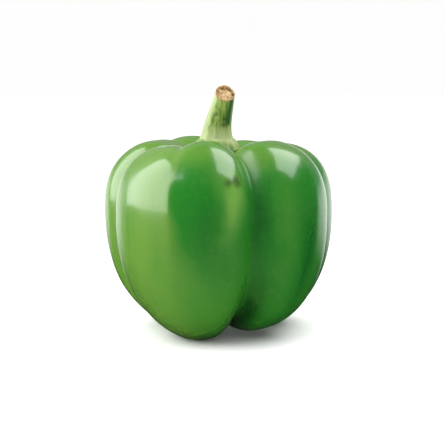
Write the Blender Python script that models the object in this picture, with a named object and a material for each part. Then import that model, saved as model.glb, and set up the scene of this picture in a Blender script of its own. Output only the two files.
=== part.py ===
"""A bell pepper: one blocky, four-lobed fruit, the calyx that caps it and its short cut stem.

Units are metres, +Z is up, and the pepper stands on z = 0 on the feet of its lobes.
Angles go round the fruit's axis in degrees: 0 is the front (-Y), and +90 is the right side (+X).
"""
import math
from collections import namedtuple

import bmesh
import bpy
from mathutils import Vector

# ---- the fruit: a squarish body of revolution, before its lobes and creases -----------------
HALF_WIDTH = 0.0434        # axis to the side of a lobe, at the widest height
WAIST = 0.0450             # height of the widest ring
RISE = 0.0316              # from the widest ring up to the shoulders
DROP = 0.0494              # from the widest ring down to the feet
SHOULDER_POWER = 2.6       # 2 makes an ellipse, more makes squarer shoulders
FOOT_POWER = 2.4
CAVITY_DEPTH = 0.0125      # the hollow round the stem
CAVITY_WIDTH = 0.0160
PINCH_DEPTH = 0.0080       # the dimple underneath, where the lobes meet
PINCH_WIDTH = 0.0123
CREASE_FADE = (0.002, 0.016)    # creases grow from nothing to full between these radii
LOBE_FADE = (0.004, 0.020)

# A crease runs from stem to tip. Its depth is a share of the radius, and two factors change the
# depth at the shoulders and at the feet. It wanders sideways there by top_turn and foot_turn.
Crease = namedtuple("Crease", "angle width depth floor at_top at_foot top_turn foot_turn")
CREASES = [
    Crease(angle=19, width=11.5, depth=0.160, floor=2.0, at_top=1.5, at_foot=1.2, top_turn=-2, foot_turn=-3),
    Crease(angle=82, width=10.5, depth=0.105, floor=2.5, at_top=1.3, at_foot=1.2, top_turn=0, foot_turn=0),
    Crease(angle=172, width=13.0, depth=0.120, floor=2.5, at_top=1.7, at_foot=1.2, top_turn=5, foot_turn=-4),
    Crease(angle=-127, width=10.0, depth=0.070, floor=2.5, at_top=1.3, at_foot=1.2, top_turn=-4, foot_turn=5),
    Crease(angle=-81, width=12.0, depth=0.140, floor=2.5, at_top=1.3, at_foot=1.2, top_turn=0, foot_turn=0),
    Crease(angle=-22, width=8.0, depth=0.012, floor=3.0, at_top=6.0, at_foot=0.2, top_turn=-19, foot_turn=0),
]

# A lobe swells outwards by its bulge. Its shoulder and its foot move by their own heights.
Lobe = namedtuple("Lobe", "angle reach bulge shoulder foot")
LOBES = [
    Lobe(angle=-54, reach=30, bulge=-0.0020, shoulder=-0.0030, foot=0.0000),
    Lobe(angle=-4, reach=26, bulge=0.0005, shoulder=0.0008, foot=0.0000),
    Lobe(angle=52, reach=38, bulge=0.0000, shoulder=0.0004, foot=0.0026),
    Lobe(angle=126, reach=50, bulge=0.0032, shoulder=-0.0062, foot=-0.0002),
    Lobe(angle=-156, reach=34, bulge=0.0010, shoulder=-0.0002, foot=-0.0008),
    Lobe(angle=-106, reach=28, bulge=0.0032, shoulder=-0.0014, foot=-0.0012),
]
MERIDIANS = 80
RINGS = 40
CREASE_PULL = 0.45         # how far the mesh's meridians gather towards a crease
CREASE_REACH = 9.0         # degrees

# ---- the calyx: a thin scalloped cap lying in the hollow, rising to the stem's foot --------
GAP = 0.0003               # clearance between touching pieces
CALYX_SPAN = 19.5          # degrees of latitude from the pole to the calyx's edge
CALYX_TEETH = 6
CALYX_SCALLOP = 0.09
CALYX_EDGE = 0.0012        # thickness at the edge
STUMP_TOP = 0.0710         # height of the flat that the stem stands on
STUMP_WIDTH = 0.0062
CALYX_MERIDIANS = 48
CALYX_RINGS = 16

# ---- the stem: a ribbed, tapering stalk, leaning to the right and cut on the slant ---------
# each row: sideways place, height, radius
STEM_COURSE = [
    (-0.0010, 0.0713, 0.0064),
    (-0.0010, 0.0740, 0.0056),
    (-0.0001, 0.0785, 0.0049),
    (0.0008, 0.0822, 0.0045),
    (0.0016, 0.0858, 0.0041),
    (0.0028, 0.0935, 0.0034),
]
STEM_RIBS = 6
STEM_RIB_DEPTH = 0.07
STEM_SIDES = 36
CUT_PLACE = Vector((0.0022, 0.0, 0.0884))
CUT_NORMAL = Vector((0.18, -0.61, 0.77))
CUTTER_SIZE = 0.030

SKIN_GREEN = (0.055, 0.235, 0.030)
CALYX_GREEN = (0.180, 0.360, 0.060)
STEM_GREEN = (0.300, 0.430, 0.120)


def clear_scene():
    """Empty the scene, so that the pepper is all it holds."""
    for old in list(bpy.data.objects):
        bpy.data.objects.remove(old, do_unlink=True)


def make_collection(name):
    """Add a collection to the scene."""
    collection = bpy.data.collections.new(name)
    bpy.context.scene.collection.children.link(collection)
    return collection


def make_material(name, colour, roughness):
    """A Principled material of one colour."""
    material = bpy.data.materials.new(name)
    material.use_nodes = True
    shader = material.node_tree.nodes["Principled BSDF"]
    shader.inputs["Base Color"].default_value = (*colour, 1.0)
    shader.inputs["Roughness"].default_value = roughness
    shader.inputs["Metallic"].default_value = 0.0
    material.diffuse_color = (*colour, 1.0)
    return material


def make_object(name, bm, material, collection):
    """Turn a bmesh into a smooth-shaded object with one material."""
    bmesh.ops.recalc_face_normals(bm, faces=bm.faces)
    mesh = bpy.data.meshes.new(name)
    bm.to_mesh(mesh)
    bm.free()
    mesh.shade_smooth()
    mesh.materials.append(material)
    piece = bpy.data.objects.new(name, mesh)
    collection.objects.link(piece)
    return piece


def turn(degrees):
    """The same angle, between -180 and 180 degrees."""
    return (degrees + 180.0) % 360.0 - 180.0


def smooth_step(value, low, high):
    """0 below low, 1 above high, and an S curve between them."""
    share = min(max((value - low) / (high - low), 0.0), 1.0)
    return share * share * (3.0 - 2.0 * share)


def body_profile(latitude):
    """Radius and height of the plain body of revolution at a latitude in degrees."""
    level = math.cos(math.radians(latitude))
    climb = math.sin(math.radians(latitude))
    upper = climb >= 0.0
    power = SHOULDER_POWER if upper else FOOT_POWER
    reach = RISE if upper else DROP
    scale = ((abs(level) / HALF_WIDTH) ** power + (abs(climb) / reach) ** power) ** (-1.0 / power)
    radius = abs(level) * scale
    height = WAIST + climb * scale
    if upper:
        height -= CAVITY_DEPTH * math.exp(-(radius / CAVITY_WIDTH) ** 2)
    else:
        height += PINCH_DEPTH * math.exp(-(radius / PINCH_WIDTH) ** 2)
    return radius, height


def crease_share(angle, latitude):
    """How much of the radius the creases take away here."""
    climb = math.sin(math.radians(latitude))
    top, foot = max(climb, 0.0), max(-climb, 0.0)
    share = 0.0
    for crease in CREASES:
        away = turn(angle - crease.angle - crease.top_turn * top ** 2 - crease.foot_turn * foot ** 2)
        rounded = math.hypot(away, crease.floor) - crease.floor
        depth = crease.depth * (1.0 + (crease.at_top - 1.0) * top ** 2 + (crease.at_foot - 1.0) * foot ** 2)
        share += depth * math.exp(-rounded / crease.width)
    return share


def lobe_offsets(angle, latitude, radius):
    """How far the lobes push the body outwards and upwards here."""
    level = math.cos(math.radians(latitude))
    climb = math.sin(math.radians(latitude))
    top, foot = max(climb, 0.0), max(-climb, 0.0)
    edge = smooth_step(radius, *LOBE_FADE)
    outwards, upwards = 0.0, 0.0
    for lobe in LOBES:
        nearness = min(abs(turn(angle - lobe.angle)) / lobe.reach, 1.0)
        weight = math.cos(math.pi / 2.0 * nearness) ** 2
        outwards += weight * lobe.bulge * level
        upwards += weight * edge * (lobe.shoulder * top ** 2 + lobe.foot * foot ** 2)
    return outwards, upwards


def fruit_point(angle, latitude):
    """The point of the fruit's skin at an angle and a latitude in degrees."""
    radius, height = body_profile(latitude)
    outwards, upwards = lobe_offsets(angle, latitude, radius)
    keep = 1.0 - crease_share(angle, latitude) * smooth_step(radius, *CREASE_FADE)
    radius = (radius + outwards) * keep
    height = WAIST + (height + upwards - WAIST) * keep
    across = math.radians(angle)
    return Vector((radius * math.sin(across), -radius * math.cos(across), max(height, 0.0)))


def gathered(angle):
    """Move a meridian towards the nearest crease, where the skin turns sharply."""
    moved = angle
    for crease in CREASES:
        away = turn(angle - crease.angle)
        moved -= CREASE_PULL * away * math.exp(-(away / CREASE_REACH) ** 2)
    return moved


def direction_angles(direction):
    """Angle round the axis and latitude, in degrees, of a direction from the centre."""
    angle = math.degrees(math.atan2(direction.x, -direction.y))
    latitude = math.degrees(math.asin(max(-1.0, min(1.0, direction.z / direction.length))))
    return angle, latitude


def make_fruit(collection):
    """The fruit: a sphere of meridians and rings, each point moved out to the skin."""
    bm = bmesh.new()
    bmesh.ops.create_uvsphere(bm, u_segments=MERIDIANS, v_segments=RINGS, radius=1.0)
    for vertex in bm.verts:
        angle, latitude = direction_angles(vertex.co)
        vertex.co = fruit_point(gathered(angle), latitude)
    material = make_material("pepper_skin", SKIN_GREEN, 0.30)
    return make_object("fruit", bm, material, collection)


def calyx_point(direction):
    """A point of the calyx: its underside follows the hollow, and its top rises to the stump."""
    angle, tilt = direction_angles(direction)
    outwards = math.cos(math.radians(tilt))
    scallop = 1.0 + CALYX_SCALLOP * math.cos(math.radians(angle * CALYX_TEETH))
    span = CALYX_SPAN * (1.0 + (scallop - 1.0) * outwards ** 2)
    seat = fruit_point(angle, 90.0 - span * outwards)
    seat.z += GAP
    rim = CALYX_EDGE / 2.0
    if tilt <= 0.0:
        return seat + Vector((0.0, 0.0, rim * smooth_step(outwards, 0.8, 1.0)))
    centre = Vector((STEM_COURSE[0][0], 0.0, 0.0))
    from_stem = math.hypot(seat.x - centre.x, seat.y)
    slope = 1.0 - smooth_step(from_stem, STUMP_WIDTH, STUMP_WIDTH * 1.9)
    skirt = seat.z + rim + rim * math.sqrt(max(0.0, 1.0 - outwards ** 4))
    return Vector((seat.x, seat.y, skirt + (max(STUMP_TOP, skirt) - skirt) * slope))


def make_calyx(collection):
    """The calyx: a flattened sphere laid in the hollow."""
    bm = bmesh.new()
    bmesh.ops.create_uvsphere(bm, u_segments=CALYX_MERIDIANS, v_segments=CALYX_RINGS, radius=1.0)
    for vertex in bm.verts:
        vertex.co = calyx_point(vertex.co)
    material = make_material("calyx_green", CALYX_GREEN, 0.55)
    return make_object("calyx", bm, material, collection)


def ribbed_outline(name):
    """A closed curve of radius 1 with shallow ribs, for the stem's section."""
    outline = bpy.data.curves.new(name, "CURVE")
    outline.dimensions = "2D"
    spline = outline.splines.new("POLY")
    spline.points.add(STEM_SIDES - 1)
    for number, point in enumerate(spline.points):
        across = 2.0 * math.pi * number / STEM_SIDES
        radius = 1.0 - STEM_RIB_DEPTH * (0.5 - 0.5 * math.cos(across * STEM_RIBS))
        point.co = (radius * math.cos(across), radius * math.sin(across), 0.0, 1.0)
    spline.use_cyclic_u = True
    return bpy.data.objects.new(name, outline)


def stem_stalk(guides):
    """The uncut stalk: a ribbed section swept along the stem's course."""
    section = ribbed_outline("stem_section")
    guides.objects.link(section)
    hide_guide(section)
    curve = bpy.data.curves.new("stem_course", "CURVE")
    curve.dimensions = "3D"
    curve.resolution_u = 5
    curve.bevel_mode = "OBJECT"
    curve.bevel_object = section
    curve.use_fill_caps = True
    spline = curve.splines.new("BEZIER")
    spline.bezier_points.add(len(STEM_COURSE) - 1)
    for point, (sideways, height, radius) in zip(spline.bezier_points, STEM_COURSE):
        point.co = (sideways, 0.0, height)
        point.radius = radius
        point.handle_left_type = "AUTO"
        point.handle_right_type = "AUTO"
    return bpy.data.objects.new("stem_course", curve)


def hide_guide(guide):
    """Keep a cutter or a guide out of the finished object."""
    guide.hide_render = True
    guide.display_type = "WIRE"


def curve_to_mesh(source, name, material, collection):
    """Make a swept curve a plain closed mesh, and remove the curve."""
    graph = bpy.context.evaluated_depsgraph_get()
    mesh = bpy.data.meshes.new_from_object(source.evaluated_get(graph))
    bm = bmesh.new()
    bm.from_mesh(mesh)
    bmesh.ops.remove_doubles(bm, verts=bm.verts, dist=1e-6)
    bm.transform(source.matrix_world)
    bpy.data.meshes.remove(mesh)
    bpy.data.objects.remove(source)
    return make_object(name, bm, material, collection)


def make_cutter(guides):
    """The slanting cut: a block whose lower face lies in the plane of the cut."""
    bpy.ops.mesh.primitive_cube_add(size=CUTTER_SIZE)
    cutter = bpy.context.object
    cutter.name = "cut_block"
    cutter.rotation_mode = "QUATERNION"
    cutter.rotation_quaternion = CUT_NORMAL.to_track_quat("Z", "Y")
    cutter.location = CUT_PLACE + CUT_NORMAL.normalized() * (CUTTER_SIZE / 2.0)
    for owner in list(cutter.users_collection):
        owner.objects.unlink(cutter)
    guides.objects.link(cutter)
    hide_guide(cutter)
    return cutter


def make_stem(collection, guides):
    """The stem: the ribbed stalk with its slanting cut end."""
    material = make_material("stem_green", STEM_GREEN, 0.60)
    stalk = stem_stalk(guides)
    collection.objects.link(stalk)
    stem = curve_to_mesh(stalk, "stem", material, collection)
    cut = stem.modifiers.new("slanting_cut", "BOOLEAN")
    cut.operation = "DIFFERENCE"
    cut.solver = "EXACT"
    cut.object = make_cutter(guides)
    return stem


def centre_over_floor(pieces, guides):
    """Move everything together, so that the box of the pieces is centred on the Z axis."""
    corners = [Vector(vertex.co) for piece in pieces for vertex in piece.data.vertices]
    middle_x = (min(c.x for c in corners) + max(c.x for c in corners)) / 2.0
    middle_y = (min(c.y for c in corners) + max(c.y for c in corners)) / 2.0
    for piece in list(pieces) + list(guides.objects):
        piece.location.x -= middle_x
        piece.location.y -= middle_y
    print("axis of the fruit at", round(-middle_x, 5), round(-middle_y, 5))


def main():
    clear_scene()
    pepper = make_collection("bell_pepper")
    guides = make_collection("guides")
    pieces = [make_fruit(pepper), make_calyx(pepper), make_stem(pepper, guides)]
    centre_over_floor(pieces, guides)


main()
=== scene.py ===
# %% [markdown]
# # A green bell pepper
#
# A bell pepper is a hollow fruit that grew as one piece: unequal lobes round one axis, creases
# between them, a hollow at the top with the calyx in it, and a stem that was cut on the slant.
# The packed design gives the true size and place. This lesson grows a smooth, detailed skin,
# calyx and stem over it with Geometry Nodes, and gives each one a procedural finish.

# %% The frame
import math
from collections import namedtuple

import bpy
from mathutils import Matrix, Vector


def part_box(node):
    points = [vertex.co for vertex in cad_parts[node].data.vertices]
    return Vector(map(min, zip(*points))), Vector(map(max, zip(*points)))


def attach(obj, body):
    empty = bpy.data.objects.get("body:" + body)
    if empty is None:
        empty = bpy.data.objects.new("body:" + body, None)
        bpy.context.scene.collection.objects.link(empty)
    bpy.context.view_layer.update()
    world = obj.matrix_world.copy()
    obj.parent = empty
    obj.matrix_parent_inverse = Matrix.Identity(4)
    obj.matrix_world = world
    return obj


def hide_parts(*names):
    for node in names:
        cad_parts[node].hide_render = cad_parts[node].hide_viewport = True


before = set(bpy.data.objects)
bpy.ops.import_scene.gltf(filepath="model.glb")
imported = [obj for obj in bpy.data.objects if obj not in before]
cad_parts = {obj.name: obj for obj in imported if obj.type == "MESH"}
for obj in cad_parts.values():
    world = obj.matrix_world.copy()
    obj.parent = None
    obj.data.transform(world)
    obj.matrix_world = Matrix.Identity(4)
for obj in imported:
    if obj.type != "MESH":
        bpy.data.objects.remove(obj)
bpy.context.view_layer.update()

AXIS = Vector((0.00023, 0.00045, 0.0))      # the fruit's axis; unequal lobes put it off the middle
scene = bpy.context.scene
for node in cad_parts:
    low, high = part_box(node)
    print(node, "from", [round(v, 4) for v in low], "to", [round(v, 4) for v in high])

# %% [markdown]
# ## The camera
#
# A vegetable on a table is usually seen from a hand's reach away and a little above. A long lens
# keeps the lobes from bulging towards the viewer. The camera is turned to its aim with
# `to_track_quat`, which needs no constraint.

# %% Camera
CAMERA_DISTANCE = 0.3887
CAMERA_HEIGHT = 0.0936
CAMERA_AIM = Vector((0.0011, 0.0, 0.0429))
LENS = 85.0


def look_from(place, aim, turned):
    """Turn an object so that its -Z axis runs from a place to an aim."""
    turned.location = place
    turned.rotation_euler = (aim - place).to_track_quat("-Z", "Y").to_euler()


camera = bpy.data.objects.new("camera", bpy.data.cameras.new("camera"))
camera.data.lens = LENS
camera.data.sensor_width = 36.0
camera.data.clip_start = 0.01
camera.data.clip_end = 50.0
scene.collection.objects.link(camera)
look_from(AXIS + Vector((0.0, -CAMERA_DISTANCE, CAMERA_HEIGHT)), AXIS + CAMERA_AIM, camera)
scene.camera = camera
print("camera", [round(v, 3) for v in camera.location])

# %% [markdown]
# ## Writing a node tree as arithmetic
#
# A grown shape follows a rule, and so does its colour. Placing dozens of math nodes by hand hides
# the rule, so a small class lets a node's output be added, multiplied or compared like a number.
# Each operation makes one Math node. It works in Geometry Nodes and in shaders alike.

# %% Wires
def feed(tree, slot, value):
    """Put a number, a vector or another node's output into a socket."""
    if isinstance(value, Wire):
        tree.links.new(value.socket, slot)
    elif isinstance(value, bpy.types.NodeSocket):
        tree.links.new(value, slot)
    else:
        slot.default_value = value


def add_node(tree, kind, inputs=None, **settings):
    """Add a node, set its options, and fill its inputs by name or number."""
    node = tree.nodes.new(kind)
    for option, value in settings.items():
        setattr(node, option, value)
    for key, value in (inputs or {}).items():
        feed(tree, node.inputs[key], value)
    return node


def reckon(tree, operation, *values):
    """One Math node."""
    node = add_node(tree, "ShaderNodeMath", operation=operation)
    for slot, value in zip(node.inputs, values):
        feed(tree, slot, value)
    return Wire(tree, node.outputs[0])


class Wire:
    """A number that differs from point to point, carried by a node's output."""

    def __init__(self, tree, socket):
        self.tree = tree
        self.socket = socket

    def __add__(self, other):
        return reckon(self.tree, "ADD", self, other)

    def __radd__(self, other):
        return reckon(self.tree, "ADD", other, self)

    def __sub__(self, other):
        return reckon(self.tree, "SUBTRACT", self, other)

    def __rsub__(self, other):
        return reckon(self.tree, "SUBTRACT", other, self)

    def __mul__(self, other):
        return reckon(self.tree, "MULTIPLY", self, other)

    def __truediv__(self, other):
        return reckon(self.tree, "DIVIDE", self, other)

    def __rtruediv__(self, other):
        return reckon(self.tree, "DIVIDE", other, self)

    def __pow__(self, other):
        return reckon(self.tree, "POWER", self, other)

    def __abs__(self):
        return reckon(self.tree, "ABSOLUTE", self)

    def at_least(self, other):
        return reckon(self.tree, "MAXIMUM", self, other)

    def at_most(self, other):
        return reckon(self.tree, "MINIMUM", self, other)

    def exp(self):
        return reckon(self.tree, "EXPONENT", self)

    def root(self):
        return reckon(self.tree, "SQRT", self)

    def sine(self):
        return reckon(self.tree, "SINE", self)

    def cosine(self):
        return reckon(self.tree, "COSINE", self)

    def above(self, other):
        return reckon(self.tree, "GREATER_THAN", self, other)

    def turned(self):
        """The same angle, between -180 and 180 degrees."""
        return reckon(self.tree, "WRAP", self, 180.0, -180.0)

    def ramp(self, low, high, first=0.0, last=1.0):
        """An S curve from first at low to last at high, flat beyond them."""
        node = add_node(self.tree, "ShaderNodeMapRange", interpolation_type="SMOOTHSTEP")
        keys = ("Value", "From Min", "From Max", "To Min", "To Max")
        for key, value in zip(keys, (self, low, high, first, last)):
            feed(self.tree, node.inputs[key], value)
        return Wire(self.tree, node.outputs["Result"])

    def bell(self, middle, spread):
        """1 at the middle, falling away on both sides like a bell."""
        away = (self - middle) / spread
        return (away * away * -1.0).exp()


def parts_of(tree, vector):
    """The three numbers of a vector."""
    node = add_node(tree, "ShaderNodeSeparateXYZ", {0: vector})
    return [Wire(tree, socket) for socket in node.outputs]


def point_of(tree, x, y, z):
    """A vector from three numbers."""
    return add_node(tree, "ShaderNodeCombineXYZ", {0: x, 1: y, 2: z}).outputs[0]


def noise(tree, where, size, detail=2.0, roughness=0.5, stretch=(1.0, 1.0, 1.0)):
    """Soft noise between about 0 and 1, whose blobs measure size metres."""
    scaled = add_node(tree, "ShaderNodeVectorMath", {0: where, 1: [s / size for s in stretch]},
                      operation="MULTIPLY")
    settings = {"Vector": scaled.outputs[0], "Scale": 1.0, "Detail": detail, "Roughness": roughness}
    return Wire(tree, add_node(tree, "ShaderNodeTexNoise", settings).outputs[0])


print("a wire also knows:", ", ".join(name for name in vars(Wire) if not name.startswith("_")))

# %% [markdown]
# ## Node groups with named inputs
#
# Sizes belong on a tree's inputs, where a maker can find and change them. The helpers below
# declare those inputs and give back wires that carry them.

# %% Trees and groups
FLOAT, VECTOR, INTEGER = "NodeSocketFloat", "NodeSocketVector", "NodeSocketInt"
MATERIAL, GEOMETRY = "NodeSocketMaterial", "NodeSocketGeometry"


def new_tree(name, inputs, outputs):
    """An empty tree with (name, kind, start value) inputs and (name, kind) outputs."""
    tree = bpy.data.node_groups.new(name, "GeometryNodeTree")
    for label, kind, start in inputs:
        socket = tree.interface.new_socket(name=label, in_out="INPUT", socket_type=kind)
        if start is not None:
            socket.default_value = start
    for label, kind in outputs:
        tree.interface.new_socket(name=label, in_out="OUTPUT", socket_type=kind)
    entry = tree.nodes.new("NodeGroupInput")
    wires = {label: Wire(tree, entry.outputs[label]) for label, _, _ in inputs}
    return tree, wires, tree.nodes.new("NodeGroupOutput")


def use_group(tree, group, values):
    """Use a finished group inside another tree."""
    node = add_node(tree, "GeometryNodeGroup", node_tree=group)
    for key, value in values.items():
        feed(tree, node.inputs[key], value)
    return node


def grow(name, tree, values):
    """Run a tree once and keep what it grows as a plain mesh object."""
    holder = bpy.data.objects.new(name + "_grower", bpy.data.meshes.new(name + "_seed"))
    scene.collection.objects.link(holder)
    modifier = holder.modifiers.new("grow", "NODES")
    modifier.node_group = tree
    for item in tree.interface.items_tree:
        if item.in_out == "INPUT" and item.name in values:
            modifier[item.identifier] = values[item.name]
    graph = bpy.context.evaluated_depsgraph_get()
    mesh = bpy.data.meshes.new_from_object(holder.evaluated_get(graph), depsgraph=graph)
    bpy.data.objects.remove(holder)
    piece = bpy.data.objects.new(name, mesh)
    scene.collection.objects.link(piece)
    print(name, "has", len(mesh.polygons), "faces")
    return piece


print("sockets are of these kinds:", FLOAT, VECTOR, INTEGER, MATERIAL, GEOMETRY)

# %% [markdown]
# ## The rule of the fruit
#
# The body starts as a squarish solid of revolution: a superellipse, with a hollow at the top and
# a pinch underneath. Creases take away a share of the radius near their own meridian, sharply in
# the middle and fading sideways, which leaves round lobes between them. Each lobe can bulge, and
# raise or lower its shoulder and foot. The sizes are the design's own, but for two changes. The
# crease at the front left is a notch in the shoulder, up to 3.5 mm deeper than in the design, over
# a low ridge that stands up to 1.4 mm prouder. The right lobe's shoulder is half a millimetre lower.

# %% Sizes of the fruit
FRUIT_SIZES = {
    "Half width": 0.0434,
    "Waist": 0.0450,
    "Rise": 0.0316,
    "Drop": 0.0494,
    "Shoulder power": 2.6,
    "Foot power": 2.4,
    "Cavity depth": 0.0125,
    "Cavity width": 0.0160,
    "Pinch depth": 0.0080,
    "Pinch width": 0.0123,
}
CREASE_FADE = (0.002, 0.016)        # creases grow to full depth between these radii
LOBE_FADE = (0.004, 0.020)          # shoulders and feet do, between these

CREASE_INPUTS = ("At", "Width", "Depth", "Floor", "At top", "At foot", "Top turn", "Foot turn",
                 "Top power")
CREASES = [
    (19.0, 11.5, 0.160, 2.0, 1.5, 1.2, -2.0, -3.0, 2.0),        # the deep one at the front
    (82.0, 10.5, 0.105, 2.5, 1.3, 1.2, 0.0, 0.0, 2.0),
    (172.0, 13.0, 0.120, 2.5, 1.7, 1.2, 5.0, -4.0, 2.0),
    (-127.0, 10.0, 0.070, 2.5, 1.3, 1.2, -4.0, 5.0, 2.0),
    (-81.0, 12.0, 0.140, 2.5, 1.3, 1.2, 0.0, 0.0, 2.0),
    (-22.0, 7.0, -0.022, 1.3, -18.0, 0.3, -19.0, 0.0, 4.0),     # the low ridge and its notch
]
LOBE_INPUTS = ("At", "Reach", "Bulge", "Shoulder", "Foot")
LOBES = [
    (-54.0, 30.0, -0.0020, -0.0030, 0.0000),
    (-4.0, 26.0, 0.0005, 0.0008, 0.0000),
    (52.0, 38.0, 0.0000, -0.0001, 0.0026),
    (126.0, 50.0, 0.0032, -0.0062, -0.0002),
    (-156.0, 34.0, 0.0010, -0.0002, -0.0008),
    (-106.0, 28.0, 0.0032, -0.0014, -0.0012),
]
print(len(CREASES), "creases and", len(LOBES), "lobes")

# %% [markdown]
# One crease and one lobe are each a small group, used once for every crease and lobe. Angles are
# in degrees round the axis, 0 at the front. "Climb" is the sine of the latitude: 1 at the top,
# -1 at the foot.

# %% Crease and lobe groups
def crease_group():
    """The share of the radius that one crease takes away."""
    inputs = [(name, FLOAT, 1.0) for name in ("Angle", "Climb") + CREASE_INPUTS]
    tree, wire, output = new_tree("crease", inputs, [("Share", FLOAT)])
    top = wire["Climb"].at_least(0.0)
    foot = (wire["Climb"] * -1.0).at_least(0.0)
    turn = wire["Top turn"] * top * top + wire["Foot turn"] * foot * foot
    away = (wire["Angle"] - wire["At"] - turn).turned()
    floor = wire["Floor"]
    rounded = (away * away + floor * floor).root() - floor
    deeper_top = (wire["At top"] - 1.0) * top ** wire["Top power"]
    deeper_foot = (wire["At foot"] - 1.0) * foot * foot
    depth = wire["Depth"] * (deeper_top + deeper_foot + 1.0)
    feed(tree, output.inputs["Share"], depth * (rounded / wire["Width"] * -1.0).exp())
    return tree


def lobe_group():
    """How far one lobe moves the skin outwards and upwards."""
    inputs = [(name, FLOAT, 1.0) for name in ("Angle", "Climb", "Level", "Edge") + LOBE_INPUTS]
    tree, wire, output = new_tree("lobe", inputs, [("Outwards", FLOAT), ("Upwards", FLOAT)])
    top = wire["Climb"].at_least(0.0)
    foot = (wire["Climb"] * -1.0).at_least(0.0)
    nearness = (abs((wire["Angle"] - wire["At"]).turned()) / wire["Reach"]).at_most(1.0)
    weight = (nearness * (math.pi / 2.0)).cosine() ** 2.0
    feed(tree, output.inputs["Outwards"], weight * wire["Bulge"] * wire["Level"])
    raised = wire["Shoulder"] * top * top + wire["Foot"] * foot * foot
    feed(tree, output.inputs["Upwards"], weight * wire["Edge"] * raised)
    return tree


crease_tree = crease_group()
lobe_tree = lobe_group()
print("crease group of", len(crease_tree.nodes), "nodes, lobe group of", len(lobe_tree.nodes))

# %% [markdown]
# The skin point group puts the rule together. It takes a direction, as angle, climb and level
# (the cosine of the latitude), and gives the point of the skin that lies there. The fruit uses it
# for its whole surface, and the calyx for the patch that it lies on.

# %% The skin point group
def skin_point_group():
    """Where the skin lies in a given direction from the middle of the fruit."""
    directions = [("Angle", FLOAT, 0.0), ("Climb", FLOAT, 0.0), ("Level", FLOAT, 1.0)]
    inputs = directions + [(name, FLOAT, size) for name, size in FRUIT_SIZES.items()]
    tree, wire, output = new_tree("skin_point", inputs, [("Position", VECTOR)])
    angle, climb, level = wire["Angle"], wire["Climb"], wire["Level"]
    upper = climb.above(0.0)
    power = wire["Foot power"] + upper * (wire["Shoulder power"] - wire["Foot power"])
    reach = wire["Drop"] + upper * (wire["Rise"] - wire["Drop"])
    summed = (level / wire["Half width"]) ** power + (abs(climb) / reach) ** power
    scale = summed ** (-1.0 / power)
    radius = level * scale
    hollow = wire["Cavity depth"] * ((radius / wire["Cavity width"]) ** 2.0 * -1.0).exp()
    pinch = wire["Pinch depth"] * ((radius / wire["Pinch width"]) ** 2.0 * -1.0).exp()
    height = climb * scale - hollow * upper + pinch * (1.0 - upper)
    edge = radius.ramp(*LOBE_FADE)
    outwards, upwards, share = 0.0, 0.0, 0.0
    for lobe in LOBES:
        values = {"Angle": angle, "Climb": climb, "Level": level, "Edge": edge}
        node = use_group(tree, lobe_tree, {**values, **dict(zip(LOBE_INPUTS, lobe))})
        outwards = outwards + Wire(tree, node.outputs["Outwards"])
        upwards = upwards + Wire(tree, node.outputs["Upwards"])
    for crease in CREASES:
        values = {"Angle": angle, "Climb": climb, **dict(zip(CREASE_INPUTS, crease))}
        share = share + Wire(tree, use_group(tree, crease_tree, values).outputs["Share"])
    keep = 1.0 - share * radius.ramp(*CREASE_FADE)
    across = angle * (math.pi / 180.0)
    out = (radius + outwards) * keep
    up = wire["Waist"] + (height + upwards) * keep
    place = point_of(tree, out * across.sine(), out * across.cosine() * -1.0, up)
    feed(tree, output.inputs["Position"], place)
    return tree


skin_point = skin_point_group()
print("skin point group of", len(skin_point.nodes), "nodes")

# %% [markdown]
# ## Finishes: the skin
#
# Pepper skin is smooth and waxy, with colour that drifts from deep green to yellow green over each
# lobe. The colour is mixed from a few greens by soft masks that follow the lobes, then broken up by
# upright streaks and a fine mottle. Some masks paint light and shade, wholly or in part: a lighter
# left half, top and front foot, and darker creases, front and right flank. A thin clear coat gives
# the window-like glints their edge.

# %% Material helpers
def colour(hexes):
    """A linear colour from a display colour such as '70a546'."""
    values = [int(hexes[i:i + 2], 16) / 255.0 for i in (0, 2, 4)]
    linear = [v / 12.92 if v <= 0.04045 else ((v + 0.055) / 1.055) ** 2.4 for v in values]
    return (*linear, 1.0)


def blend(tree, first, second, share):
    """Mix two colours by a share between 0 and 1."""
    node = add_node(tree, "ShaderNodeMix", {0: share, 6: first, 7: second}, data_type="RGBA")
    return node.outputs[2]


def new_material(name, **settings):
    """A Principled material, its tree, its shader and the wires of its object coordinates."""
    material = bpy.data.materials.new(name)
    material.use_nodes = True
    tree = material.node_tree
    shader = tree.nodes["Principled BSDF"]
    for label, value in settings.items():
        shader.inputs[label.replace("_", " ")].default_value = value
    where = tree.nodes.new("ShaderNodeTexCoord").outputs["Object"]
    return material, tree, shader, where


def bump(tree, shader, height, distance):
    """Small relief from a height wire, distance metres deep."""
    inputs = {"Strength": 1.0, "Distance": distance, "Height": height}
    node = add_node(tree, "ShaderNodeBump", inputs)
    tree.links.new(node.outputs["Normal"], shader.inputs["Normal"])


def round_the_axis(tree, where):
    """Angle in degrees and height of a shading point, seen from the fruit's axis."""
    x, y, z = parts_of(tree, where)
    angle = reckon(tree, "ARCTAN2", x - AXIS.x, (y - AXIS.y) * -1.0) * (180.0 / math.pi)
    return angle, z


print("a display colour of 70a546 is", [round(v, 3) for v in colour("70a546")[:3]])

# %% [markdown]
# A zone is a soft patch of one green, placed by its angle round the axis and its height. It is as
# wide as its spread in degrees and as tall as its rise in metres. Zones lie on one another in this
# order. Blemishes are the small dark smudges where the skin once rubbed against a leaf.

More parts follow.
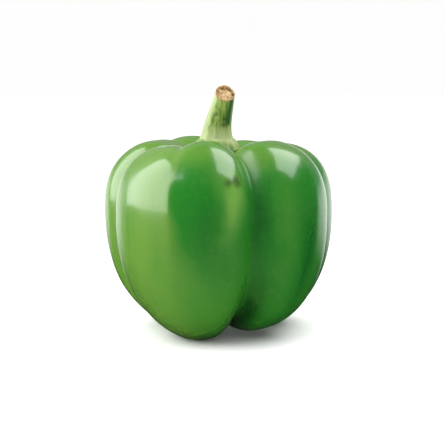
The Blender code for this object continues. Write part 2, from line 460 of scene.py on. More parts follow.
# %% Skin colours
DEEP_GREEN = (0.008, 0.162, 0.009, 1.0)
YELLOW_GREEN = (0.100, 0.228, 0.026, 1.0)
# a darker green, used in part for painted shade
DARK_GREEN = (0.001, 0.098, 0.006, 1.0)
# painted shade for the bottom of the deep crease
CREASE_SHADE_GREEN = (0.001, 0.050, 0.003, 1.0)
LEAF_GREEN = (0.045, 0.195, 0.016, 1.0)
PALE_GREEN = (0.165, 0.345, 0.055, 1.0)
# painted light for the top of the skin
TOP_LIGHT_GREEN = (0.090, 0.220, 0.020, 1.0)
SMUDGE_GREEN = (0.034, 0.094, 0.012, 1.0)

Zone = namedtuple("Zone", "angle spread height rise tint strength")
ZONES = [
    Zone(21.0, 6.5, 0.047, 0.014, DARK_GREEN, 0.90),        # painted shade beside the deep crease
    Zone(35.0, 5.5, 0.045, 0.022, LEAF_GREEN, 0.60),        # a lighter band down the right lobe
    Zone(49.0, 6.5, 0.032, 0.018, DARK_GREEN, 1.00),        # the right lobe's flank, darker: partly its own colour, partly painted shade
    Zone(-6.0, 8.0, 0.043, 0.012, DARK_GREEN, 0.45),        # the middle of the front lobe, darker: partly its own colour, partly painted shade
    Zone(23.0, 9.0, 0.067, 0.0045, YELLOW_GREEN, 0.55),     # the right lobe beside the stem
    Zone(1.0, 9.0, 0.061, 0.005, LEAF_GREEN, 0.80),         # the front lobe's right shoulder
    Zone(6.0, 6.0, 0.054, 0.008, PALE_GREEN, 0.70),         # a ripening patch on the front lobe
    Zone(5.0, 3.4, 0.047, 0.006, PALE_GREEN, 0.45),         # and its tail
    Zone(-6.0, 22.0, 0.012, 0.018, LEAF_GREEN, 0.90),       # painted light on the front lobe's foot, as from the floor below
    Zone(23.0, 7.0, 0.012, 0.012, CREASE_SHADE_GREEN, 0.95),      # painted shade low in the deep crease
    Zone(-50.0, 26.0, 0.069, 0.0055, PALE_GREEN, 0.30),     # painted light on the top of the left lobe's shoulder
    Zone(110.0, 14.0, 0.040, 0.022, LEAF_GREEN, 0.60),      # three bands round the back
    Zone(150.0, 12.0, 0.046, 0.018, YELLOW_GREEN, 0.55),
    Zone(-165.0, 14.0, 0.030, 0.024, LEAF_GREEN, 0.70),
]
Mark = namedtuple("Mark", "angle height size")
BLEMISHES = [Mark(8.6, 0.0598, 0.0022), Mark(4.6, 0.0590, 0.0022), Mark(10.0, 0.0586, 0.0017)]
print(len(ZONES), "zones of colour and", len(BLEMISHES), "blemishes")

# %% [markdown]
# Each of these gives a share between 0 and 1. The yellow green left half is partly the skin's own
# colour and partly painted light, on the side that faces the window lamp. Its edge is sharp at the
# shoulder, where the notch divides two lobes, and soft at the foot, where they run together.

# %% Shares of colour
LEFT_START = -22.5                  # the yellow green half of the skin, partly painted light, runs from this angle
LEFT_END = (-165.0, -120.0)         # round the left, and fades out between these
LEFT_WIDENING = 12.0                # it reaches this much further at the foot, in degrees
SOFT_EDGE, SHARP_EDGE = 12.0, 2.0   # the edge's half width at the foot and at the shoulder
SHOULDER_RADIUS = 0.041             # how far out the blemishes lie
RAGGED = 0.0016                     # how much their outline wanders


def left_share(warped, height):
    """1 on the yellow green left half, partly painted light, 0 elsewhere."""
    widening = height.ramp(0.015, 0.048, LEFT_WIDENING, 0.0)
    edge = height.ramp(0.022, 0.050, SOFT_EDGE, SHARP_EDGE)
    return ((LEFT_START - warped + widening) / edge).ramp(-1.0, 1.0) * warped.ramp(*LEFT_END)


def zone_share(zone, warped, height):
    """How much of a zone's colour lies here."""
    near = (warped - zone.angle).turned().bell(0.0, zone.spread)
    return near * height.bell(zone.height, zone.rise)


def blemish_share(mark, angle, height, mottle, streak):
    """How much of a dark smudge lies here."""
    across = (angle - mark.angle) * (SHOULDER_RADIUS * math.pi / 180.0)
    up = height - mark.height
    span = (across * across + up * up).root()
    ragged = span + (mottle - 0.5) * RAGGED + (streak - 0.5) * RAGGED
    return ragged.ramp(mark.size, 0.0)


print("the left half starts at", LEFT_START, "degrees")

# %% [markdown]
# Three sizes of noise carry the finish: drift for colour over a lobe, streaks that run upright as
# the skin grew, and a fine mottle. The angle and height wander with them, so no zone has a plain
# outline. The skin is duller in the deep crease, where its wax is thinner.

# %% Skin material
SKIN_IOR = 1.6
COAT_ROUGHNESS = 0.10
COAT_WEIGHT = 0.5
SKIN_ROUGHNESS = 0.17
SKIN_RELIEF = 0.000006
TOP_LIGHT_RISE = (0.0610, 0.0690)       # painted light from above: the top turns lighter and yellower between these heights
DULL_CREASE = (21.0, 6.5)           # angle and spread of the duller skin in the deep crease
DULL_RISE = (0.040, 0.062)


def make_skin_material():
    """Waxy green skin: zones of green, some of them painted light and shade, upright streaks, a fine
    mottle and a clear coat.
    """
    material, tree, shader, where = new_material("pepper_skin", IOR=SKIN_IOR,
                                                 Coat_Roughness=COAT_ROUGHNESS)
    angle, height = round_the_axis(tree, where)
    drift = noise(tree, where, 0.022, detail=2.0)
    streak = noise(tree, where, 0.0055, detail=3.0, stretch=(1.0, 1.0, 0.14))
    mottle = noise(tree, where, 0.0016, detail=3.0)
    warped = angle + ((drift - 0.5) * 9.0 + (streak - 0.5) * 5.0)
    raised = height + (drift - 0.5) * 0.012

    leafy = (drift * 0.9 + streak * 0.5 - 0.55).at_least(0.0).at_most(1.0)
    base = blend(tree, DEEP_GREEN, LEAF_GREEN, leafy)
    # The left half: partly its own yellow green, partly painted light from the window lamp.
    left = left_share(warped, height) * (0.42 + streak).at_most(1.0)
    base = blend(tree, base, YELLOW_GREEN, left)
    # Painted light from above: the top of the skin is made lighter and yellower.
    base = blend(tree, base, TOP_LIGHT_GREEN, height.ramp(*TOP_LIGHT_RISE) * 0.75)
    for zone in ZONES:
        base = blend(tree, base, zone.tint, zone_share(zone, warped, raised) * zone.strength)
    base = blend(tree, base, PALE_GREEN, (mottle - 0.52).at_least(0.0) * 0.3)
    for mark in BLEMISHES:
        smudge = blemish_share(mark, angle, height, mottle, streak)
        base = blend(tree, base, SMUDGE_GREEN, smudge * 0.85)
    tree.links.new(base, shader.inputs["Base Color"])

    dull = (angle + (drift - 0.5) * 5.0).bell(*DULL_CREASE) * height.ramp(*DULL_RISE)
    roughness = SKIN_ROUGHNESS + drift * 0.08 + mottle * 0.04 + dull * 0.14
    feed(tree, shader.inputs["Roughness"], roughness)
    feed(tree, shader.inputs["Coat Weight"], COAT_WEIGHT - dull * 0.4)
    bump(tree, shader, streak * 0.5 + mottle * 0.5, SKIN_RELIEF)
    return material


skin_material = make_skin_material()
print(skin_material.name, "uses", len(skin_material.node_tree.nodes), "nodes")

# %% [markdown]
# ## The fruit
#
# The fruit is a sphere of meridians and rings whose points are moved to the skin by the rule, then
# pushed in and out a little by noise, because no lobe grew perfectly smooth. The feet that would go
# through the table are flattened on it. This way the mesh is closed, even and as fine as wanted.

# %% Mesh helpers
LUMP_STRETCH = 1.8


def shift(tree, place, axis):
    """A place moved by the fruit's axis."""
    return add_node(tree, "ShaderNodeVectorMath", {0: place, 1: axis}, operation="ADD").outputs[0]


def place_points(tree, geometry, place):
    """Put every point of a mesh at its place."""
    node = add_node(tree, "GeometryNodeSetPosition", {"Geometry": geometry, "Position": place})
    return node.outputs[0]


def hand_out(tree, geometry, finish, slot):
    """Make a mesh real, give it its finish, and pass it to the tree's output."""
    real = add_node(tree, "GeometryNodeRealizeInstances", {0: geometry})
    inputs = {"Geometry": real.outputs[0], "Material": finish}
    feed(tree, slot, add_node(tree, "GeometryNodeSetMaterial", inputs).outputs[0])


def ball_of_points(tree, wire):
    """A round ball's mesh, its point wires and their angle round the axis in degrees."""
    inputs = {"Segments": wire["Meridians"], "Rings": wire["Rings"], "Radius": 1.0}
    ball = add_node(tree, "GeometryNodeMeshUVSphere", inputs)
    x, y, z = parts_of(tree, tree.nodes.new("GeometryNodeInputPosition").outputs[0])
    angle = reckon(tree, "ARCTAN2", x, y * -1.0) * (180.0 / math.pi)
    return ball.outputs["Mesh"], x, y, z, angle


def lumps(tree, wire, scale, detail):
    """Noise between -0.5 and 0.5. Its blobs are taller than wide, as the lobes are."""
    size = wire["Lump size"]
    place = tree.nodes.new("GeometryNodeInputPosition").outputs[0]
    inputs = {0: place, 1: point_of(tree, size, size, size * LUMP_STRETCH)}
    grid = add_node(tree, "ShaderNodeVectorMath", inputs, operation="DIVIDE")
    inputs = {"Vector": grid.outputs[0], "Scale": scale, "Detail": detail}
    return Wire(tree, add_node(tree, "ShaderNodeTexNoise", inputs).outputs[0]) - 0.5


print("lumps are", LUMP_STRETCH, "times as tall as wide")


# %% Fruit tree
def fruit_tree():
    """A sphere moved out to the skin, made uneven, and flattened where it stands."""
    inputs = [("Meridians", INTEGER, 64), ("Rings", INTEGER, 32), ("Unevenness", FLOAT, 0.0),
              ("Lump size", FLOAT, 0.02), ("Dent depth", FLOAT, 0.0),
              ("Axis", VECTOR, (0.0, 0.0, 0.0)), ("Finish", MATERIAL, None)]
    inputs += [(name, FLOAT, size) for name, size in FRUIT_SIZES.items()]
    tree, wire, output = new_tree("pepper_fruit", inputs, [("Fruit", GEOMETRY)])
    ball, x, y, z, angle = ball_of_points(tree, wire)
    direction = {"Angle": angle, "Climb": z, "Level": (x * x + y * y).root()}
    sizes = {name: wire[name] for name in FRUIT_SIZES}
    skin = use_group(tree, skin_point, {**direction, **sizes})
    smooth = place_points(tree, ball, skin.outputs["Position"])

    broad = lumps(tree, wire, 1.0, 1.0) * 2.0 * wire["Unevenness"]
    fine = lumps(tree, wire, 4.0, 1.5) * 2.0 * wire["Dent depth"]
    normal = tree.nodes.new("GeometryNodeInputNormal").outputs[0]
    offset = add_node(tree, "ShaderNodeVectorMath", {0: normal, "Scale": broad + fine},
                      operation="SCALE")
    uneven = add_node(tree, "GeometryNodeSetPosition",
                      {"Geometry": smooth, "Offset": offset.outputs[0]}).outputs[0]

    place = tree.nodes.new("GeometryNodeInputPosition").outputs[0]
    px, py, pz = parts_of(tree, shift(tree, place, wire["Axis"]))
    stood = place_points(tree, uneven, point_of(tree, px, py, pz.at_least(0.0)))
    hand_out(tree, stood, wire["Finish"], output.inputs["Fruit"])
    return tree


def keep_inside(piece, lowest, highest):
    """Squeeze a mesh, along each axis that needs it, into a box."""
    points = [vertex.co for vertex in piece.data.vertices]
    for axis in range(3):
        low = min(p[axis] for p in points)
        high = max(p[axis] for p in points)
        squeeze = min(1.0, (highest[axis] - lowest[axis]) / (high - low))
        start = min(max(low, lowest[axis]), highest[axis] - (high - low) * squeeze)
        for point in points:
            point[axis] = start + (point[axis] - low) * squeeze
        print(piece.name, "xyz"[axis], "squeezed by", round(squeeze, 5))


def settle(piece, node):
    """Make a finished piece stand for its design node."""
    piece.data.shade_smooth()
    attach(piece, "root")
    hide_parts(node)


fruit_values = {"Meridians": 400, "Rings": 230, "Unevenness": 0.0004, "Lump size": 0.020,
                "Dent depth": 0.00005, "Axis": AXIS, "Finish": skin_material}
fruit = grow("pepper_fruit", fruit_tree(), {**fruit_values, **FRUIT_SIZES})
keep_inside(fruit, *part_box("fruit"))
settle(fruit, "fruit")

# %% [markdown]
# ## The stem
#
# The stalk is ribbed, tapers upwards, leans to the right, and flares where it meets the calyx. It
# was cut on the slant, and the cut has dried: a raised corky rim round a sunken, woody middle. A
# cylinder's points are moved by that rule. Its flat top becomes the cut, so side and end stay one
# closed mesh. Two attributes tell the finish where it is: how far a point lies from the rim, and
# its angle.

# %% Sizes of the stem
STEM_SIZES = {
    "Base": 0.0708,
    "Foot place": -0.0010,
    "Lean": 0.0039,
    "Lean start": 0.0715,
    "Lean end": 0.0945,
    "Top radius": 0.0035,
    "Taper": 0.120,
    "Taper end": 0.0900,
    "Flare": 0.0011,
    "Flare height": 0.0022,
    "Rib depth": 0.055,
    "Furrow depth": 0.034,
    "Cut sink": 0.0007,
    "Rim wander": 0.00035,
}
RIBS = 5
FURROWS = 11
CUT_PLACE = Vector((0.0022, 0.0, 0.0884))
CUT_NORMAL = Vector((0.18, -0.61, 0.77))
RAGGED_SIZE = 0.0011                # the size of the rim's raggedness
CURL = 0.00012                      # how far the dried rim curls outwards
CURL_HEIGHT = 0.0007                # and how far down that reaches


def remember(tree, geometry, name, value):
    """Keep a number on every point of a mesh, for the finish to read."""
    inputs = {"Geometry": geometry, "Name": name, "Value": value}
    node = add_node(tree, "GeometryNodeStoreNamedAttribute", inputs,
                    data_type="FLOAT", domain="POINT")
    return node.outputs[0]


def rib_share(wire, angle):
    """The section's outline, as a share of the radius: main ribs with finer furrows between."""
    ribs = ((angle - 34.0) * math.radians(RIBS)).cosine() - 1.0
    furrows = ((angle + 4.0) * math.radians(FURROWS)).cosine() - 1.0
    return 1.0 + ribs * 0.5 * wire["Rib depth"] + furrows * 0.5 * wire["Furrow depth"]


print(RIBS, "ribs and", FURROWS, "furrows")

# %% [markdown]
# The rule works on each point of the cylinder. Its share says how far up the stalk it lies, and
# `inwards` how far out it is on an end: 1 at the rim, 0 in the middle.

# %% Stem tree
def stem_tree():
    """A cylinder bent, ribbed and cut on the slant."""
    inputs = [("Sides", INTEGER, 32), ("Rings", INTEGER, 32), ("End rings", INTEGER, 8),
              ("Axis", VECTOR, (0.0, 0.0, 0.0)), ("Cut place", VECTOR, (0.0, 0.0, 0.0)),
              ("Cut normal", VECTOR, (0.0, 0.0, 1.0)), ("Finish", MATERIAL, None)]
    inputs += [(name, FLOAT, size) for name, size in STEM_SIZES.items()]
    tree, wire, output = new_tree("pepper_stem", inputs, [("Stem", GEOMETRY)])
    inputs = {"Vertices": wire["Sides"], "Side Segments": wire["Rings"],
              "Fill Segments": wire["End rings"], "Radius": 1.0, "Depth": 1.0}
    tube = add_node(tree, "GeometryNodeMeshCylinder", inputs, fill_type="TRIANGLE_FAN")
    x, y, z = parts_of(tree, tree.nodes.new("GeometryNodeInputPosition").outputs[0])
    angle = reckon(tree, "ARCTAN2", x, y * -1.0) * (180.0 / math.pi)
    inwards = (x * x + y * y).root().at_most(1.0)
    share = (z + 0.5).at_least(0.0).at_most(1.0)
    across = angle * (math.pi / 180.0)
    rib = rib_share(wire, angle)

    def radius_at(height):
        taper = (wire["Taper end"] - height).at_least(0.0) * wire["Taper"]
        flare = ((height - wire["Base"]) / wire["Flare height"] * -1.0).exp() * wire["Flare"]
        return (wire["Top radius"] + taper + flare) * rib

    def middle_at(height):
        return wire["Foot place"] + height.ramp(wire["Lean start"], wire["Lean end"]) * wire["Lean"]

    cut_x, cut_y, cut_z = parts_of(tree, wire["Cut place"])
    slope_x, slope_y, slope_z = parts_of(tree, wire["Cut normal"])
    rim_x = across.sine() * wire["Top radius"] * rib
    rim_y = across.cosine() * wire["Top radius"] * rib * -1.0
    ragged = noise(tree, point_of(tree, rim_x, rim_y, 0.0), RAGGED_SIZE, detail=2.0) - 0.5
    rim = cut_z - (slope_x * rim_x + slope_y * rim_y) / slope_z
    rim = rim + ragged * 2.0 * wire["Rim wander"]
    height = wire["Base"] + (rim - wire["Base"]) * share
    below_rim = rim - height
    curl = (below_rim / CURL_HEIGHT * -1.0).exp() * CURL
    reach = radius_at(height) + curl
    side_x = middle_at(height) + reach * across.sine()
    side_y = reach * across.cosine() * -1.0
    on_top = share.above(0.5)
    centre_x = wire["Foot place"] + on_top * (cut_x - wire["Foot place"])
    centre_z = wire["Base"] + on_top * (cut_z - wire["Base"])
    knobs = noise(tree, point_of(tree, x, y, 0.3), 0.30, detail=2.0) - 0.5
    hollow = inwards.ramp(0.99, 0.80) * (1.0 - inwards.ramp(0.75, 0.30) * 0.45 + knobs * 1.1)
    sunk = hollow * wire["Cut sink"] * on_top
    moved = point_of(tree, centre_x + (side_x - centre_x) * inwards, side_y * inwards,
                     centre_z + (height - centre_z) * inwards - sunk)
    from_rim = inwards + below_rim * 1000.0         # up to 1 on the cut, then 1 more per millimetre
    marked = remember(tree, tube.outputs["Mesh"], "from_rim", from_rim)
    marked = remember(tree, marked, "round", angle)
    placed = place_points(tree, marked, shift(tree, moved, wire["Axis"]))
    hand_out(tree, placed, wire["Finish"], output.inputs["Stem"])
    return tree


stalk_tree = stem_tree()
print("stem tree of", len(stalk_tree.nodes), "nodes")

# %% [markdown]
# ## The stem's finish
#
# Near the fruit the stalk is pale, almost cream. Higher up it is yellow green with darker upright
# streaks in the furrows and a few small dark spots. Painted light makes the left side pale, and
# painted shade makes the right side deep green. The cut is cork: tan and gold at the rim, pale
# wood in the middle, and painted shade in dark brown just inside the rim.

# %% Stem colours
STALK_LIGHT = colour("8ea24e")
STALK_GREEN = colour("527c24")
STALK_OLIVE = colour("38560f")
# the deep green of the painted shade on the stalk's right side
STALK_SHADE = colour("1c5a04")
STALK_CREAM = colour("b0bd86")
STALK_KNOT = colour("2a4a0a")
SPECK = colour("2c3810")
CORK_DARK, CORK_LIGHT = colour("94682e"), colour("b89a62")
WOOD_LIGHT, WOOD_DARK = colour("c6aa80"), colour("8a6436")
# painted shade inside the cut's raised rim
RIM_SHADE_DARK, RIM_SHADE_LIGHT = colour("38260c"), colour("5c421a")
KNOTS = [(27.0, 0.0790), (25.0, 0.0767), (-18.0, 0.0806)]   # angle and height of small dark spots
KNOT_SPREAD = 13.0
KNOT_RISE = 0.0009
print(len(KNOTS), "knots")


# %% Stem material
def read_mark(tree, name):
    """A number that was kept on the mesh."""
    return Wire(tree, add_node(tree, "ShaderNodeAttribute", attribute_name=name).outputs["Fac"])


def stalk_colour(tree, where, angle, height):
    """The stalk's green skin with its painted light and shade, shared by the stem and the calyx so
    that they run into each other.
    """
    fibre = noise(tree, where, 0.0010, detail=3.0, roughness=0.6, stretch=(1.0, 1.0, 0.09))
    patch = noise(tree, where, 0.0032, detail=2.0, stretch=(1.0, 1.0, 0.35))
    green = blend(tree, STALK_LIGHT, STALK_GREEN, fibre.ramp(0.40, 0.62))
    furrow = fibre.ramp(0.54, 0.70) * patch.ramp(0.42, 0.58)
    green = blend(tree, green, STALK_OLIVE, furrow * 0.85)
    deep = angle.bell(52.0, 24.0) * height.ramp(0.0757, 0.0777)     # painted shade: the deep green right side, away from the window lamp
    green = blend(tree, green, STALK_SHADE, (deep * (0.85 + fibre * 0.5)).at_most(1.0))
    for place, level in KNOTS:
        wandering = height + (fibre - 0.5) * 0.0012
        knot = angle.bell(place, KNOT_SPREAD) * wandering.bell(level, KNOT_RISE)
        green = blend(tree, green, STALK_KNOT, knot * 0.85)
    pale = angle.bell(-72.0, 30.0) * 0.8            # painted light: the left side, facing the window lamp, made pale
    cream = (height + (patch - 0.5) * 0.004).ramp(0.0772, 0.0728)
    light = pale.at_least(cream * (0.55 + patch * 0.5)).at_most(1.0)
    return blend(tree, green, STALK_CREAM, light), fibre, patch


def make_stem_material():
    """Ribbed green stalk with a dried, corky cut."""
    material, tree, shader, where = new_material("pepper_stem", IOR=1.42)
    from_rim = read_mark(tree, "from_rim")
    angle = read_mark(tree, "round")
    height = parts_of(tree, where)[2]
    green, fibre, _ = stalk_colour(tree, where, angle, height)
    speck = noise(tree, where, 0.0013, detail=1.0, stretch=(1.0, 1.0, 0.6)).ramp(0.70, 0.76)
    green = blend(tree, green, SPECK, speck * height.ramp(0.0755, 0.0780) * 0.8)
    grain = noise(tree, where, 0.0006, detail=4.0, roughness=0.65)
    blotch = noise(tree, where, 0.0016, detail=3.0)
    cork = blend(tree, CORK_DARK, CORK_LIGHT, grain.ramp(0.35, 0.65))
    woody = (grain * 0.6 + blotch * 0.4).ramp(0.42, 0.62)
    wood = blend(tree, WOOD_LIGHT, WOOD_DARK, woody)
    # Painted shade: a dark brown ring just inside the raised rim, deepest toward the back right.
    dark = blend(tree, RIM_SHADE_DARK, RIM_SHADE_LIGHT, grain)
    ring = from_rim.ramp(0.64, 0.74) * from_rim.ramp(0.95, 0.84) * blotch.ramp(0.42, 0.54)
    end = blend(tree, wood, cork, from_rim.ramp(0.72, 0.90))
    shaded = (0.35 + (angle - 140.0).turned().bell(0.0, 85.0) * 0.9).at_most(1.0)
    end = blend(tree, end, dark, ring * shaded)
    torn = from_rim + (blotch - 0.5) * 0.9
    base = blend(tree, end, green, torn.ramp(1.10, 1.28))
    tree.links.new(base, shader.inputs["Base Color"])
    feed(tree, shader.inputs["Roughness"], 0.42 + fibre * 0.18 + torn.ramp(1.28, 1.05) * 0.30)
    bump(tree, shader, fibre * 0.6 + grain * 0.4, 0.00016)
    return material


stem_values = {"Sides": 160, "Rings": 180, "End rings": 24, "Axis": AXIS,
               "Cut place": CUT_PLACE, "Cut normal": CUT_NORMAL, "Finish": make_stem_material()}
stem = grow("pepper_stem", stalk_tree, {**stem_values, **STEM_SIZES})
keep_inside(stem, Vector((-1.0, -1.0, 0.0)), Vector((1.0, 1.0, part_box("stem")[1].z)))
settle(stem, "stem")

# %% [markdown]
# ## The calyx
#
# The green cap round the stem is what is left of the flower's outer leaves. It lies in the fruit's
# hollow, thin and scalloped at its edge, with a low ridge running out to each tooth, and rises to
# meet the stem. It uses the skin point group, so it follows the hollow that it lies in.

# %% Sizes of the calyx
CALYX_SIZES = {
    "Span": 18.2,
    "Teeth": 6.0,
    "Scallop": 0.10,
    "Thickness": 0.0009,
    "Ridge": 0.0005,
    "Gap": 0.0001,
    "Cone foot": 0.0713,
    "Cone radius": 0.0068,
    "Cone slope": 1.35,
    "Cone top": 0.0716,
    "Cone place": -0.0010,
}
EDGE_START = 0.86                   # the cone's top side runs into the thin edge from here out
SEAM = 0.0012                       # how softly the cone runs into the leaf
print("the calyx spans", 2 * CALYX_SIZES["Span"], "degrees of the hollow")


# %% Calyx tree
def calyx_tree():
    """A flattened ball whose two sides follow the hollow of the fruit."""
    inputs = [("Meridians", INTEGER, 64), ("Rings", INTEGER, 32),
              ("Axis", VECTOR, (0.0, 0.0, 0.0)), ("Finish", MATERIAL, None)]
    inputs += [(name, FLOAT, size) for name, size in {**CALYX_SIZES, **FRUIT_SIZES}.items()]
    tree, wire, output = new_tree("pepper_calyx", inputs, [("Calyx", GEOMETRY)])
    ball, x, y, z, angle = ball_of_points(tree, wire)
    outwards = reckon(tree, "ARCTAN2", (x * x + y * y).root(), abs(z)) / (math.pi / 2.0)
    uneven = noise(tree, point_of(tree, x, y, 0.0), 0.45, detail=2.0) - 0.5
    tooth = ((angle + 14.0 + uneven * 30.0) * (math.pi / 180.0) * wire["Teeth"]).cosine()
    span = wire["Span"] * (1.0 + (tooth * wire["Scallop"] + uneven * 0.16) * outwards * outwards)
    slant = span * outwards * (math.pi / 180.0)
    direction = {"Angle": angle, "Climb": slant.cosine(), "Level": slant.sine()}
    sizes = {name: wire[name] for name in FRUIT_SIZES}
    seat = use_group(tree, skin_point, {**direction, **sizes})
    sx, sy, sz = parts_of(tree, seat.outputs["Position"])
    edge = (1.0 - outwards ** 6.0).at_least(0.0).root()
    ridge = tooth.at_least(0.0) * tooth.at_least(0.0) * wire["Ridge"] * outwards.ramp(0.2, 0.6)
    upper_skin = sz + wire["Gap"] + (wire["Thickness"] + ridge) * edge
    away_x = sx - wire["Cone place"]
    spread = (away_x * away_x + sy * sy).root() * (1.0 + tooth * -0.05)
    cone = wire["Cone foot"] + (wire["Cone radius"] - spread) * wire["Cone slope"]
    risen = reckon(tree, "SMOOTH_MAX", upper_skin, cone.at_most(wire["Cone top"]), SEAM)
    top = risen * outwards.ramp(1.0, EDGE_START) + upper_skin * outwards.ramp(EDGE_START, 1.0)
    height = (sz + wire["Gap"]) + z.above(0.0) * (top - sz - wire["Gap"])
    marked = remember(tree, ball, "outwards", outwards)
    marked = remember(tree, marked, "round", angle)
    marked = remember(tree, marked, "tooth", tooth)
    place = shift(tree, point_of(tree, sx, sy, height), wire["Axis"])
    placed = place_points(tree, marked, place)
    hand_out(tree, placed, wire["Finish"], output.inputs["Calyx"])
    return tree


cap_tree = calyx_tree()
print("calyx tree of", len(cap_tree.nodes), "nodes")

# %% [markdown]
# The calyx takes the stalk's colours near the stem, so that the two run into each other. Further
# out it is a leaf: veined, lighter along its ridges, and dry and brown at the very edge.

# %% Calyx material
LEAF_LIGHT, LEAF_DARK = colour("809a44"), colour("4a7626")
RIDGE_PALE = colour("90a45c")
DRY_BROWN = colour("544420")


def make_calyx_material():
    """Pale by the stem, greener on the ridges' flanks, with a dry brown line at the edge."""
    material, tree, shader, where = new_material("pepper_calyx", IOR=1.42)
    outwards = read_mark(tree, "outwards")
    angle = read_mark(tree, "round")
    tooth = read_mark(tree, "tooth")
    height = parts_of(tree, where)[2]
    green, _, patch = stalk_colour(tree, where, angle, height)
    vein = noise(tree, point_of(tree, angle * 0.0003, outwards * 0.002, 0.0), 0.0011, detail=3.0)
    leaf = blend(tree, LEAF_LIGHT, LEAF_DARK, vein.ramp(0.38, 0.66))
    leaf = blend(tree, leaf, RIDGE_PALE, tooth.ramp(0.5, 1.0) * 0.6)
    base = blend(tree, green, leaf, outwards.ramp(0.62, 0.82))
    dry = outwards.ramp(0.955, 0.995) * patch.ramp(0.3, 0.6)
    base = blend(tree, base, DRY_BROWN, dry)
    tree.links.new(base, shader.inputs["Base Color"])
    feed(tree, shader.inputs["Roughness"], 0.40 + vein * 0.22)
    bump(tree, shader, vein, 0.00014)
    return material


calyx_values = {"Meridians": 240, "Rings": 140, "Axis": AXIS, "Finish": make_calyx_material()}
calyx = grow("pepper_calyx", cap_tree, {**calyx_values, **CALYX_SIZES, **FRUIT_SIZES})
settle(calyx, "calyx")

# %% [markdown]
# ## The floor
#
# Pale paper, as in a small product studio. It glows very slightly, so that it stays nearly white
# out to the far edge. It isn't seen in glints, which keeps its light off the skin's lower rims.

# %% Floor
FLOOR_SIZE = 12.0
FLOOR_GLOW = 0.06
WHITE = (1.0, 1.0, 1.0, 1.0)


def make_floor():
    """A wide pale floor."""
    material, tree, shader, where = new_material(
        "floor_paper", Roughness=0.8, Emission_Strength=FLOOR_GLOW, Emission_Color=WHITE)
    grain = noise(tree, where, 0.004, detail=3.0)
    paper = blend(tree, colour("fbfbfa"), colour("fefefd"), grain)
    tree.links.new(paper, shader.inputs["Base Color"])
    bpy.ops.mesh.primitive_plane_add(size=FLOOR_SIZE)
    floor = bpy.context.object
    floor.name = "floor"
    floor.data.materials.append(material)
    floor.visible_glossy = False


make_floor()
print("the floor is", FLOOR_SIZE, "m across")

# %% [markdown]
# A round wall stands far behind the table. Only the camera sees it, so it gives a plain pale
# background from every side and changes no light.

# %% Backdrop
WALL_RADIUS = 5.9
WALL_HEIGHT = 9.0
WALL_MIDDLE = 4.4


def make_backdrop():
    """A round pale wall that glows evenly."""
    material = bpy.data.materials.new("backdrop_paper")
    material.use_nodes = True
    tree = material.node_tree
    tree.nodes.clear()
    where = tree.nodes.new("ShaderNodeTexCoord").outputs["Object"]
    grain = noise(tree, where, 0.5, detail=2.0)
    paper = blend(tree, colour("fdfdfd"), colour("ffffff"), grain)
    glow = add_node(tree, "ShaderNodeEmission", {"Color": paper})
    add_node(tree, "ShaderNodeOutputMaterial", {"Surface": glow.outputs[0]})
    bpy.ops.mesh.primitive_cylinder_add(vertices=96, radius=WALL_RADIUS, depth=WALL_HEIGHT,
                                        end_fill_type="NOTHING", location=(0.0, 0.0, WALL_MIDDLE))
    wall = bpy.context.object
    wall.name = "backdrop"
    wall.data.materials.append(material)
    wall.visible_diffuse = False
    wall.visible_glossy = False
    wall.visible_shadow = False


make_backdrop()
print("the backdrop stands", WALL_RADIUS, "m away")

# %% [markdown]
# ## The light
#
# One large soft lamp stands at the left like a window and gives the left lobes their long glints.
# A second hangs high at the back right. An even overhead light lifts the whole fruit without a
# glint of its own.

# %% Lights
MIDDLE = Vector((0.0, 0.0, 0.045))
LAMP_DISTANCE = 0.9
CEILING_SPREAD = math.radians(110.0)
CEILING_POWER = 2.9


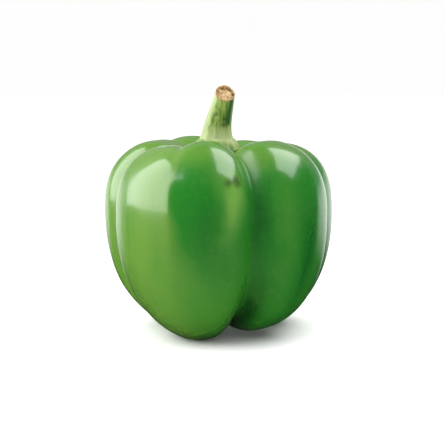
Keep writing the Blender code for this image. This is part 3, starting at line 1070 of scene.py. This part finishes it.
def soft_lamp(name, azimuth, elevation, width, height, power):
    """A rectangular lamp aimed at the fruit. Azimuth 0 is the front, 90 the right side."""
    lamp = bpy.data.lights.new(name, "AREA")
    lamp.shape = "RECTANGLE"
    lamp.size = width
    lamp.size_y = height
    lamp.energy = power
    holder = bpy.data.objects.new(name, lamp)
    scene.collection.objects.link(holder)
    around, up = math.radians(azimuth), math.radians(elevation)
    level = math.cos(up)
    away = Vector((math.sin(around) * level, -math.cos(around) * level, math.sin(up)))
    look_from(MIDDLE + away * LAMP_DISTANCE, MIDDLE, holder)
    holder.visible_camera = False
    print(name, [round(v, 2) for v in holder.location])


def make_overhead_light():
    """Soft light from a wide pale ceiling. It doesn't show as a glint of its own."""
    light = bpy.data.lights.new("ceiling_light", "SUN")
    light.angle = CEILING_SPREAD
    light.energy = CEILING_POWER
    holder = bpy.data.objects.new("ceiling_light", light)
    scene.collection.objects.link(holder)
    holder.visible_glossy = False


soft_lamp("window_lamp", azimuth=-90.0, elevation=30.0, width=1.26, height=1.16, power=14.2)
soft_lamp("back_lamp", azimuth=105.0, elevation=58.5, width=0.96, height=0.58, power=5.8)
make_overhead_light()

# %% [markdown]
# The room's own light is a bright low wall behind the pepper, whose reflection edges the top of
# the skin. It is dim overhead and in front, so the skin keeps its deep colour between the glints,
# and almost dark below the table's level, so the lower rims stay green.

# %% Sky
WALL_STRENGTH = 1.2
WALL_EDGE = (0.55, 0.72)            # the wall starts between these depths, towards the back
WALL_RIGHT = 0.18                   # and reaches this much further round on the right
WALL_TOP = (-0.03, 0.24, 1.0, 0.15)         # bright below the first height, faint above the next
WALL_FOOT = (-0.32, -0.10)
ROOM = (-0.20, 0.0, 0.015, 0.10)            # the dark under the table, then the dim room


def make_sky():
    """A studio room: a bright low wall behind, dim overhead and in front."""
    world = bpy.data.worlds.new("studio")
    scene.world = world
    world.use_nodes = True
    tree = world.node_tree
    shader = tree.nodes["Background"]
    x, y, z = parts_of(tree, tree.nodes.new("ShaderNodeTexCoord").outputs["Generated"])
    behind = (y + x.at_least(0.0) * WALL_RIGHT).ramp(*WALL_EDGE)
    wall = behind * z.ramp(*WALL_TOP) * z.ramp(*WALL_FOOT)
    feed(tree, shader.inputs["Strength"], wall * WALL_STRENGTH + z.ramp(*ROOM))
    shader.inputs["Color"].default_value = WHITE


make_sky()
scene.view_settings.view_transform = "Standard"
print("the wall's strength is", WALL_STRENGTH)

# %% [markdown]
# ## The size
#
# The finished look has to keep the design's size.
